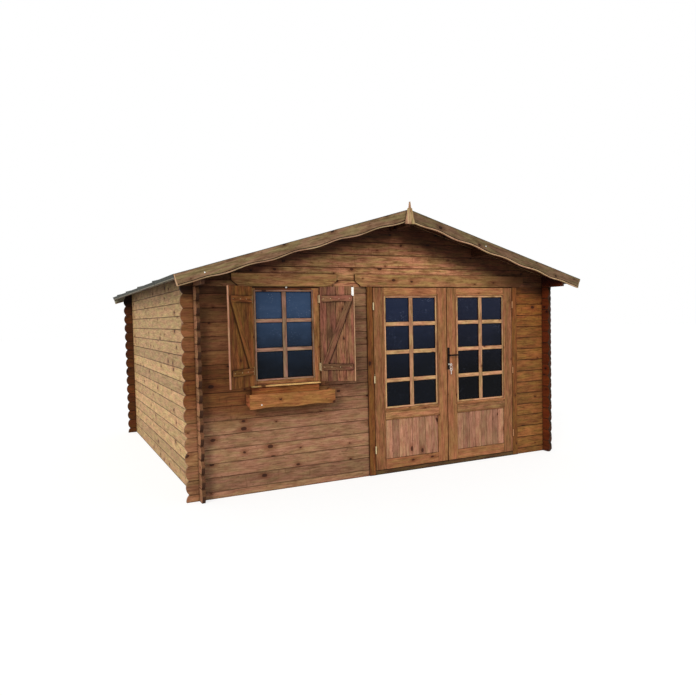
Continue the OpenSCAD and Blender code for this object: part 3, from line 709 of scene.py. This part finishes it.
def bargeboards(name, nodes, front, back, rear):
    """Two boards with waved lower edges, mitred at the ridge. Under a shallow groove painted near black as shade, each
    edge has a paler bead, partly a painted highlight.
    """
    boards, groove, bead = Timber(40 + rear), Timber(42 + rear), Timber(44 + rear)
    steps = 90
    end_strip, bead_top, groove_top, groove_depth = 0.008, 0.0095, 0.015, 0.003
    lean = math.tan(PITCH)

    def edge(above):
        """The lower edge's line, raised by a distance and mitred at the ridge."""
        spots = [(BOARD_SLOPE - end_strip) * i / steps for i in range(steps + 1)]
        return [(max(s, (barge_edge(s) - above) * lean), above - barge_edge(s)) for s in spots]

    faces = (front, back - groove_depth) if rear else (front + groove_depth, back)
    for side, tone in ((-1, 0.1), (1, -1.3)):
        place = slope_place(side)
        boards.plank([(FELT * lean, -FELT), (BOARD_SLOPE - end_strip, -FELT)] + edge(groove_top)[::-1], front, back,
                     place, tone=tone)
        groove.plank(edge(groove_top) + edge(bead_top)[::-1], *faces, place)
        # The bead and the front left end strip are paler, partly a painted highlight.
        bead.plank(edge(bead_top) + edge(0.0)[::-1], front, back, place)
        foot = 0.0005 - barge_edge(BOARD_SLOPE)
        end = bead if side < 0 and not rear else boards
        end.block((BOARD_SLOPE - end_strip + 0.0002, BOARD_SLOPE), (front, back), (foot, -FELT), "z", place, 1)
    boards.piece(name, "rear_barge" if rear else "barge", nodes, 0.001)
    groove.piece(name + "_groove", "groove", (), 0.0)
    bead.piece(name + "_bead", "pale_trim", (), 0.001)


def finial():
    x, y, (foot, top) = spans("finial")
    half = (x[1] - x[0]) / 2
    waist, neck, tip = half * 0.4, 0.010, 0.0025
    shoulder = foot + 0.71 * (top - foot)
    outline = [(-half, foot), (half, foot), (waist, shoulder), (neck, shoulder), (tip, top), (-tip, top),
               (-neck, shoulder), (-waist, shoulder)]
    board = Timber(51)
    board.plank(outline, *y, grain="z", tone=0.4)
    board.piece("finial_board", "finial", ["finial"])


def felt_sheets():
    """Sheets of felt over the ridge from eave to eave. Each laps over the next one back."""
    front, back = spans("roof_felt")[1]
    laps = [0.0, 0.9, 1.85, 2.8, 3.72]
    last = len(laps) - 1
    lap, fold, thick, rows = 0.08, 0.033, 0.0018, 18
    lean = math.tan(PITCH)
    slope = [FELT_SLOPE * i / 40 for i in range(41)]
    path = [(-1, s) for s in slope[::-1]] + [(1, s) for s in slope[1:]]
    chance = random.Random(9)
    shape = bmesh.new()
    for number, start in enumerate(laps):
        start += front
        stop = back if number == last else front + laps[number + 1] + lap
        phase = chance.uniform(0, 9)
        grids = []
        for layer in (0.0, -thick):
            grid = []
            for j in range(rows + 1):
                y = start + (stop - start) * j / rows
                sink = 0.0003 + (0.0021 * (1 - j / rows) if number else 0.0)
                # A sheet's lapping end lifts a little at the eaves.
                lift = 0.010 * max(0.0, 1 - (stop - y) / 0.2) ** 2 if number < last else 0.0
                line = []
                for side, s in path:
                    ripple = 0.0006 * math.sin(s * 11 + phase) * math.sin(y * 7 + phase)
                    drop = sink + max(0.0, ripple * min(1.0, s / 0.2, (FELT_SLOPE - s) / 0.1)) - layer
                    curl = lift * max(0.0, 1 - (FELT_SLOPE - s) / 0.35) ** 2
                    line.append((side, s - curl * lean, curl - drop))
                folded = (FELT_SLOPE + layer - lift * lean, lift - fold)
                line = [(-1, *folded)] + line + [(1, *folded)]
                grid.append([shape.verts.new(slope_place(side) @ Vector((x, y, z))) for side, x, z in line])
            grids.append(grid)
        top, under = grids
        across = range(len(top[0]) - 1)
        for j in range(rows):
            for i in across:
                shape.faces.new((top[j][i], top[j][i + 1], top[j + 1][i + 1], top[j + 1][i]))
                shape.faces.new((under[j][i], under[j + 1][i], under[j + 1][i + 1], under[j][i + 1]))
            for i in (0, -1):
                shape.faces.new((top[j][i], top[j + 1][i], under[j + 1][i], under[j][i]))
        for j in (0, -1):
            for i in across:
                shape.faces.new((top[j][i], top[j][i + 1], under[j][i + 1], under[j][i]))
    settle(shaped(shape, "felt_sheets"), "felt", ["roof_felt"])


def felt_nails():
    """Clout nails along the felt's folded edges."""
    front, back = spans("roof_felt")[1]
    height, pitch = 0.0012, 0.15
    places = []
    for side in (-1, 1):
        y = front + 0.05
        while y < back - 0.03:
            spot = slope_place(side) @ Matrix.Translation((FELT_SLOPE, y, -0.018))
            places.append(spot @ Matrix.Rotation(math.pi / 2, 4, "Y") @ Matrix.Translation(-height * UP))
            y += pitch
    turned("felt_nails", [(0.004, 0), (0.004, height / 2), (0.002, height)], places, "zinc", sides=10)


def ogee_outline(node):
    """A head board: its lower corners are cut to an S that leaves both its edges upright."""
    x, _, z = spans(node)
    across, rise, steps = 0.055, 0.060, 20
    curve = []
    for i in range(steps + 1):
        t = i / steps
        curve.append((across / 2 * (1 - math.cos(math.pi * t)), z[0] + rise * (1 - t)))
    return ([(x[0], z[1]), (x[1], z[1])] + [(x[1] - cut, height) for cut, height in curve]
            + [(x[0] + cut, height) for cut, height in curve[::-1]])


def head_boards():
    for seed, node in enumerate(("window_head_board", "door_head_board")):
        board = Timber(60 + seed)
        board.plank(ogee_outline(node), *spans(node)[1], tone=0.4 - 0.8 * seed)
        board.piece(node + "_face", "head_board", [node], 0.0012)


# ---- Window ----
def bars(timber, x, z, y, across, up, middle, levels):
    """Glazing bars in an opening: an upright, and short bars on both its sides at each level."""
    left, right = middle - across / 2, middle + across / 2
    timber.block((left, right), y, z, "z", tone=-0.5)
    for level in levels:
        for start, end in ((x[0], left), (right, x[1])):
            timber.block((start + JOINT, end - JOINT), y, (level - up / 2, level + up / 2), tone=0.2)


def lining(timber, x, z, y, width):
    """A strip round the inside of an opening, butted at its corners."""
    timber.block((x[0], x[0] + width), y, z, "z")
    timber.block((x[1] - width, x[1]), y, z, "z")
    timber.block((x[0] + width, x[1] - width), y, (z[0], z[0] + width))
    timber.block((x[0] + width, x[1] - width), y, (z[1] - width, z[1]))


def beading(timber, depth, x, z, width):
    """A bead round an opening, on both faces of its frame."""
    proud = 0.003
    for y in ((depth[0] - proud, depth[0]), (depth[1], depth[1] + proud)):
        lining(timber, (x[0] - width, x[1] + width), (z[0] - width, z[1] + width), y, width)


def window():
    frame_x, depth, frame_z = spans("window_frame")
    x, pane_y, z = spans("window_glass")
    inside = (x[0] + JOINT / 2, x[1] - JOINT / 2)
    outer, inner = (depth[0], WALL_FACE), (WALL_FACE, depth[1])
    body = Timber(70)
    for side in ((frame_x[0], x[0]), (x[1], frame_x[1])):
        body.block(side, outer, frame_z, "z")
    body.block(inside, outer, (frame_z[0], z[0]))
    # The head rail is darker: painted shade under the head board.
    head = Timber(74)
    head.block(inside, outer, (z[1], frame_z[1]))
    head.piece("window_casement_head", "casement_head", (), 0.002)
    lap = 0.02
    for side in ((frame_x[0] + lap, x[0]), (x[1], frame_x[1] - lap)):
        body.block(side, inner, (frame_z[0] + lap, frame_z[1] - lap), "z")
    for level in ((frame_z[0] + lap, z[0]), (z[1], frame_z[1] - lap)):
        body.block(inside, inner, level)
    body.piece("window_casement", "casement", ["window_frame"], 0.002)

    middle = (x[0] + x[1]) / 2
    opening = (z[1] - z[0]) / 3
    bar_across, bar_up = 0.038, 0.030
    beads = Timber(71)
    beading(beads, depth, x, z, 0.014)
    for y in ((depth[0] + 0.004, pane_y[0] - GLASS_GAP), (pane_y[1] + GLASS_GAP, depth[1] - 0.006)):
        bars(beads, x, z, y, bar_across, bar_up, middle, [z[0] + opening, z[0] + 2 * opening])
    beads.piece("window_bars", "bead", (), 0.003)
    cad_look("window_glass", "window_glass")

    sill_x, sill_y, sill_z = spans("window_sill")
    thick = 0.015
    sill = Timber(72)
    sill.block(sill_x, (sill_y[0], WALL_FACE), (sill_z[1] - thick, sill_z[1] - 0.001), tone=1)
    sill.piece("window_sill_board", "sill", ["window_sill"], 0.003)
    apron = Timber(73)
    apron.block((sill_x[0] + 0.004, sill_x[1] - 0.004), (WALL_FACE - 0.016, WALL_FACE),
                (sill_z[0], sill_z[1] - thick - 0.0005), tone=-0.6)
    apron.piece("window_apron", "apron", (), 0.003)
    peg = facing_front(middle + 0.02, WALL_FACE - 0.002, frame_z[1] + 0.006)
    turned("window_peg", [(0.004, 0), (0.004, 0.012), (0.0085, 0.014), (0.0085, 0.018), (0.005, 0.021)], [peg],
           "white", slot="trim_wood")


def planter():
    x, y, z = spans("planter_front")
    steps = 40
    wave = 0.0045
    bottom = [(x[0] + (x[1] - x[0]) * i / steps, z[0] + wave * (1 - math.cos(2 * math.tau * i / steps)))
              for i in range(steps + 1)]
    front = Timber(80)
    front.plank([(x[1], z[1]), (x[0], z[1])] + bottom, *y, tone=0.2)
    front.piece("planter_face", "planter", ["planter_front"], 0.003, slot="planter_wood")
    base = z[0] + 0.040
    x, y, z = spans("planter_tray")
    top = z[1] - 0.003
    thick, gap = 0.018, 0.0005
    side = Timber(81)
    across = Matrix.Rotation(math.pi / 2, 4, "Z")
    for left in (x[0], x[1] - thick):
        side.plank([(y[0], z[0]), (y[1], base - 0.002), (y[1], top), (y[0], top)], -left - thick, -left, across)
    side.block((x[0] + thick + gap, x[1] - thick - gap), y, (base, base + 0.015))
    side.piece("planter_boards", "planter_side", ["planter_tray"], 0.002, slot="planter_wood")


# ---- Doorway ----
def doorway():
    x, y, z = spans("door_jambs")
    width = 0.062
    jambs = Timber(90)
    for side in ((x[0], x[0] + width), (x[1] - width, x[1])):
        jambs.block(side, y, (z[0], z[1] - JOINT), "z", tone=-0.1)
    jambs.piece("door_jamb_posts", "jamb", ["door_jambs"], 0.003, slot="door_wood")
    for seed, node, name, look, bevel, slot in ((91, "door_head", "door_head_rail", "jamb", 0.002, "door_wood"),
                                                (92, "threshold", "door_threshold", "threshold", 0.004, "log_wood")):
        board = Timber(seed)
        board.block(*spans(node))
        board.piece(name, look, [node], bevel, slot=slot)


def door_leaf(hand, seed):
    """Stiles, rails, boarded panel, beads and glazing bars of one leaf, drawn at rest."""
    body = hand + "_door"
    leaf = {"body": body, "slot": "door_wood"}
    frame_x, depth, frame_z = spans(body + "_frame")
    panel_x, panel_y, panel_z = spans(body + "_panel")
    x, pane_y, z = spans(body + "_glass")
    rails = Timber(seed)
    stiles = [(frame_x[0], x[0]), (x[1], frame_x[1])]
    for stile, tone in zip(stiles if hand == "left" else stiles[::-1], (-0.6, 0.1)):
        rails.block(stile, depth, frame_z, "z", tone=tone)
    sunk = 0.0006
    for rail, tone in (((frame_z[0], panel_z[0]), 0.1), ((panel_z[1], z[0]), 0.1), ((z[1], frame_z[1]), 0.9)):
        rails.block((x[0] + JOINT, x[1] - JOINT), (depth[0] + sunk, depth[1] - sunk), rail, tone=tone)
    rails.piece(body + "_stiles_and_rails", "door", [body + "_frame"], 0.0025, **leaf)

    boards = Timber(seed + 1)
    for board in boards.row(*panel_x, 8):
        boards.block(board, panel_y, panel_z, "z")
    boards.piece(body + "_panel_boards", "panel", [body + "_panel"], 0.003, **leaf)

    middle = (panel_z[1] + z[0]) / 2
    lap, proud, below, above = 0.006, 0.006, 0.044, 0.022
    bar = Timber(seed + 3)
    bar.block((x[0] - lap, x[1] + lap), (depth[0] - proud, depth[0]), (middle - below, middle + above))
    bar.piece(body + "_cover_bar", "cover_bar", (), 0.003, **leaf)

    rim, bar_across, bar_up = 0.018, 0.042, 0.037
    levels = [z[0] + share * (z[1] - z[0]) for share in (0.25, 0.5, 0.75)]
    trim = Timber(seed + 2)
    for y in ((depth[0] + 0.002, pane_y[0] - GLASS_GAP), (pane_y[1] + GLASS_GAP, depth[1] - 0.002)):
        lining(trim, x, z, y, rim)
        bars(trim, (x[0] + rim, x[1] - rim), (z[0] + rim, z[1] - rim), y, bar_across, bar_up, (x[0] + x[1]) / 2, levels)
    trim.piece(body + "_bars", "door_bead", (), 0.0025, **leaf)
    beads = Timber(seed + 4)
    beading(beads, depth, x, z, 0.016)
    beads.piece(body + "_beads", "door", **leaf)
    cad_look(body + "_glass", body + "_glass")


# ---- Fittings ----
def hinge_pins():
    """The turned pin ends that stand out of each hinge's knuckles."""
    profile = [(0.0, -0.004), (0.003, -0.0036), (0.0036, -0.001), (0.0036, 0.0)]
    half_knuckles = 0.033
    places = []
    hinges = ("left_door_hinge", "right_door_hinge", "left_shutter_hinge", "right_shutter_hinge")
    for name in hinges:
        foot, head = spans(name + "s")[2]
        heights = [foot + half_knuckles, head - half_knuckles]
        if "door" in name:
            heights.append((foot + head) / 2)
        for z in heights:
            for up in (-1, 1):
                turn = Matrix() if up < 0 else Matrix.Rotation(math.pi, 4, "X")
                places.append(Matrix.Translation((*JOINTS[name].xy, z + up * half_knuckles)) @ turn)
    turned("hinge_pin_ends", profile, places, "hinge_zinc", sides=14)
    cad_look("hinge_zinc", "hinge_brackets", *[name + "s" for name in hinges])


def screw_heads(name, places, radius=0.0055, body="cabin", look="steel"):
    """Countersunk screws, with their heads' dished tops just proud."""
    profile = [(radius, -0.001), (radius, 0.0006), (radius * 0.8, 0.0013), (radius * 0.3, 0.0006)]
    turned(name, profile, places, look, body, sides=12)


def front_screws():
    """One screw in the finial, one in each front bargeboard and one in the planter."""
    board, box = low("finial"), low("planter_front")
    places = [facing_front(0, board.y + 0.0015, board.z + 0.075)]
    for side, down in ((-1, 1.948), (1, 0.91)):
        places.append(facing_front(*(slope_place(side) @ Vector((down, BARGE_FRONT, -0.052)))))
    places.append(facing_front(box.x + 0.10, box.y, box.z + 0.034))
    screw_heads("front_screws", places)


def lock():
    """Long plates with a key hole, the lever handles' collars, and a key with its ring in the lock."""
    x, y, z = spans("lock_plates")
    middle = (x[0] + x[1]) / 2
    pivot_z = JOINTS["lever_pivot"].z
    corner, thick = 0.006, 0.003
    outline = []
    for start, left, foot in ((0, x[1] - corner, z[1] - corner), (90, x[0] + corner, z[1] - corner),
                              (180, x[0] + corner, z[0] + corner), (270, x[1] - corner, z[0] + corner)):
        for i in range(5):
            angle = math.radians(start + 22.5 * i)
            outline.append((left + corner * math.cos(angle), foot + corner * math.sin(angle)))
    plates = Timber(120)
    for face in ((y[0], y[0] + thick), (y[1] - thick, y[1])):
        plates.plank(outline, *face)
    black = {"body": "right_door", "slot": "black_metal"}
    plates.piece("lock_plate_pair", "black_iron", ["lock_plates"], 0.001, **black)
    lock_z = pivot_z - 0.09
    barrel = [(0.0085, -0.001), (0.0085, 0.003), (0.007, 0.004), (0.002, 0.004)]
    turned("lock_barrel", barrel, [facing_front(middle, y[0], lock_z)], "zinc", "right_door")
    collar = [(0.011, 0.0), (0.011, 0.004), (0.009, 0.006)]
    inner = Matrix.Translation((middle, y[1], pivot_z)) @ Matrix.Rotation(-math.pi / 2, 4, "X")
    turned("lever_collars", collar, [facing_front(middle, y[0], pivot_z), inner], "black_iron", **black)
    cad_look("black_iron", "lever_handles")
    keys(Vector((middle, y[0] - 0.003, lock_z)))


def keys(start):
    """A key in the lock, and another that hangs from it by a ring."""
    shape = bmesh.new()

    def tube(points, radius, closed=False):
        """A round bar through points."""
        rings = []
        count = len(points)
        for i, point in enumerate(points):
            before = points[i - 1] if i or closed else points[i]
            after = points[(i + 1) % count] if i < count - 1 or closed else points[i]
            forward = (after - before).normalized()
            across = forward.cross(Vector((0.31, 0.2, 0.93))).normalized()
            rings.append(circle(point, across, forward.cross(across), radius, 8))
        skin(shape, rings, closed)

    shank, bow, wire = 0.0028, 0.0115, 0.0024
    tube([start, start - BACK * 0.022], shank)
    middle = start - BACK * 0.034
    tube(circle(middle, -BACK, UP, bow), wire, closed=True)
    ring = middle - UP * 0.024
    tube(circle(ring, RIGHT, UP, 0.014), 0.0011, closed=True)
    hang = ring - UP * 0.026
    tube(circle(hang, RIGHT, UP, bow), wire, closed=True)
    tube([hang - UP * 0.011, hang - UP * 0.048], shank)
    for drop in (0.034, 0.041):
        tube([hang - UP * drop, hang - UP * drop + RIGHT * 0.008], 0.0018)
    settle(shaped(shape, "door_keys", True), "steel", body="right_door")


# ---- Shutters ----
def shutter(hand, seed):
    """Boards with battens and a brace, drawn closed from the hinge axis and then swung open."""
    body = hand + "_shutter"
    axis = JOINTS[body + "_hinge"]
    flip = Matrix.Scale(-1, 4, (1, 0, 0)) if hand == "right" else Matrix()
    place = Matrix.Translation((axis.x, axis.y, 0)) @ flip @ Matrix.Rotation(-SHUTTER_OPEN, 4, "Z")
    foot, head = spans(body + "_boards")[2]
    brace_foot, brace_head = spans(body + "_brace")[2]
    edge, width, thick, batten, near, pale = 0.004, 0.308, 0.016, 0.014, 0.007, 0.008
    depth = (near, near + thick)
    boards = Timber(seed)
    steps = [0.0, 0.060, 0.143, 0.226, width - pale]
    for left, right in zip(steps, steps[1:]):
        boards.block((edge + left + JOINT, edge + right - JOINT), depth, (foot, head), "z", place)
    boards.piece(body + "_board_row", body, [body + "_boards"], 0.0025, body)
    strip = Timber(seed + 3)
    strip.block((edge + width - pale + JOINT, edge + width), depth, (foot, head), "z", place)
    strip.piece(body + "_edge_strip", hand + "_strip", (), 0.002, body)

    brace = Timber(seed + 1)
    inset, tall, wide = 0.018, 0.052, 0.055
    x = (edge + inset, edge + width - inset)
    y = (near + thick, near + thick + batten)
    for z in ((brace_foot, brace_foot + tall), (brace_head - tall, brace_head)):
        brace.block(x, y, z, "x", place)
    start, end = brace_foot + tall + JOINT, brace_head - tall - JOINT
    run, rise = x[1] - x[0] - wide, end - start
    slant = Matrix.Rotation(math.atan2(run, rise), 4, "Y")
    corners = [slant.inverted() @ Vector((right, 0, up))
               for right, up in ((0, 0), (wide, 0), (run + wide, rise), (run, rise))]
    brace.plank([(corner.x, corner.z) for corner in corners], *y, place @ Matrix.Translation((x[0], 0, start)) @ slant,
                "z")
    brace.piece(body + "_battens_and_brace", body, [body + "_brace"], 0.002, body)

    spots = []
    for z in (brace_foot + tall / 2, brace_head - tall / 2):
        for share in (0.06, 0.30, 0.58, 0.92):
            spot = Matrix.Translation((x[0] + share * (x[1] - x[0]), y[1], z))
            spots.append(place @ spot @ Matrix.Rotation(-math.pi / 2, 4, "X"))
    screw_heads(body + "_screws", spots, 0.0030, body, "hinge_zinc")
    if hand == "right":
        bolt = Timber(seed + 2)
        right, plate = edge + width, y[0] + 0.0025
        bolt.block((right - 0.024, right - 0.004), (y[0], plate), (head - 0.085, head - 0.012), "z", place)
        bolt.block((right - 0.018, right - 0.010), (plate, plate + 0.006), (head - 0.075, head - 0.018), "z", place)
        bolt.piece(body + "_bolt", "steel", (), 0.0008, body, "zinc_metal")


# ==== Stage ====
def seen_directly(nodes):
    """1 where the camera, a reflection or a pane looks straight at the surface, else 0."""
    path = nodes.node("LightPath", {}).node.outputs
    either = nodes.math("MAXIMUM", path["Is Camera Ray"], path["Is Glossy Ray"])
    return nodes.math("MAXIMUM", either, path["Is Transmission Ray"])


def stage():
    """A pale floor that keeps the shadow, and a world: both look white where they are seen directly."""
    mesh = bpy.data.meshes.new("ground")
    reach = 60.0
    corners = [(-reach, -reach, 0), (reach, -reach, 0), (reach, reach, 0), (-reach, reach, 0)]
    mesh.from_pydata(corners, [], [(0, 1, 2, 3)])
    ground = bpy.data.objects.new("ground", mesh)
    bpy.context.scene.collection.objects.link(ground)
    look = Look("pale_ground")
    look.colour, look.roughness = rgb(232, 231, 228), 0.95
    look.finish()
    glow = look.node("Emission", {"Color": (1, 1, 1, 1), "Strength": 1.26})
    share = look.times(seen_directly(look), 0.62)
    mixed = look.node("MixShader", {0: share, 1: look.shader.outputs[0], 2: glow})
    look.put(look.tree.nodes["Material Output"].inputs["Surface"], mixed)
    mesh.materials.append(look.material)

    world = bpy.data.worlds.new("studio")
    bpy.context.scene.world = world
    world.use_nodes = True
    nodes = Nodes(world.node_tree)
    nodes.tree.nodes.clear()
    light = nodes.node("Background", {"Color": (0.94, 0.97, 1.0, 1), "Strength": 0.58})
    white = nodes.node("Background", {"Color": (1, 1, 1, 1), "Strength": 1.0})
    mixed = nodes.node("MixShader", {0: seen_directly(nodes), 1: light, 2: white})
    nodes.put(nodes.tree.nodes.new("ShaderNodeOutputWorld").inputs["Surface"], mixed)


def sun():
    """A hazy sun behind the viewer's left shoulder."""
    data = bpy.data.lights.new("sun", "SUN")
    data.energy = 1.95
    data.angle = math.radians(22)
    data.color = (1.0, 0.965, 0.91)
    made = bpy.data.objects.new("sun", data)
    made.rotation_euler = Vector((0.60, 0.62, -0.45)).to_track_quat("-Z", "Y").to_euler()
    bpy.context.scene.collection.objects.link(made)


def camera():
    data = bpy.data.cameras.new("camera")
    data.lens = CAMERA_LENS
    data.sensor_width = 36.0
    made = bpy.data.objects.new("camera", data)
    made.location = CAMERA_PLACE
    made.rotation_euler = [math.radians(angle) for angle in CAMERA_TURN]
    bpy.context.scene.collection.objects.link(made)
    bpy.context.scene.camera = made


def build():
    walls()
    floor_pieces()
    roof_boards(-1, "left_roof_boards")
    roof_boards(1, "right_roof_boards")
    bargeboards("front_bargeboards", ["left_bargeboard", "right_bargeboard"], BARGE_FRONT, BARGE_BACK, False)
    bargeboards("rear_bargeboards", ["back_bargeboards"], ROOF_BACK, high("back_bargeboards").y, True)
    finial()
    felt_sheets()
    felt_nails()
    head_boards()
    cad_look("purlin", "ridge_purlin", "side_purlins")
    cad_look("batten", "eave_battens")
    window()
    planter()
    doorway()
    door_leaf("left", 100)
    door_leaf("right", 110)
    hinge_pins()
    front_screws()
    lock()
    shutter("left", 130)
    shutter("right", 140)


bpy.context.scene.view_settings.view_transform = "Standard"
camera()
stage()
sun()
build()
